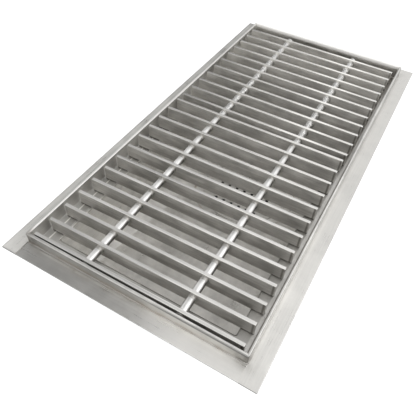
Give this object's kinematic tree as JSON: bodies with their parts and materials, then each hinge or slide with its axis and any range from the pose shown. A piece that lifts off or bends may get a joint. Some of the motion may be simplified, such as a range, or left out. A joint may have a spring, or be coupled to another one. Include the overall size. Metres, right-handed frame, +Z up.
{
  "type": "floor trough drain",
  "caption": "Stainless floor trough with a raised hemmed rim, a flat welded flange, lift-out bar grates on an inner ledge and a perforated strainer over a pipe outlet.",
  "frame": {"origin": "centre of the outlet pipe's lower end, at the bottom of the whole part", "axes": "+Z up, +Y along the trough towards the shorter grate section, +X across the trough"},
  "size_m": [0.3048, 0.6096, 0.1715],
  "materials": {
    "trough_sheet": "brushed along the sheet, with weld tint at the rim's foot",
    "flange_sheet": "fine brushed",
    "grate_bar": "mill finish with brushed top edges",
    "grate_rod": "drawn and bright",
    "strainer_sheet": "mill finish",
    "outlet_pipe": "mill finish, with a welded seat ring"
  },
  "bodies": {
    "root": {"trough_body": "trough_sheet", "flange_left": "flange_sheet", "flange_right": "flange_sheet", "flange_front": "flange_sheet", "flange_back": "flange_sheet", "near_bar_01": "grate_bar", "near_bar_02": "grate_bar", "near_bar_03": "grate_bar", "near_bar_04": "grate_bar", "near_bar_05": "grate_bar", "near_bar_06": "grate_bar", "near_bar_07": "grate_bar", "near_bar_08": "grate_bar", "near_bar_09": "grate_bar", "near_bar_10": "grate_bar", "near_bar_11": "grate_bar", "near_bar_12": "grate_bar", "near_bar_13": "grate_bar", "far_bar_01": "grate_bar", "far_bar_02": "grate_bar", "far_bar_03": "grate_bar", "far_bar_04": "grate_bar", "far_bar_05": "grate_bar", "far_bar_06": "grate_bar", "far_bar_07": "grate_bar", "far_bar_08": "grate_bar", "far_bar_09": "grate_bar", "far_bar_10": "grate_bar", "far_bar_11": "grate_bar", "near_rod_left": "grate_rod", "near_rod_right": "grate_rod", "far_rod_left": "grate_rod", "far_rod_right": "grate_rod", "strainer_plate": "strainer_sheet", "seat_ring": "outlet_pipe", "outlet_pipe": "outlet_pipe"}
  },
  "joints": []
}
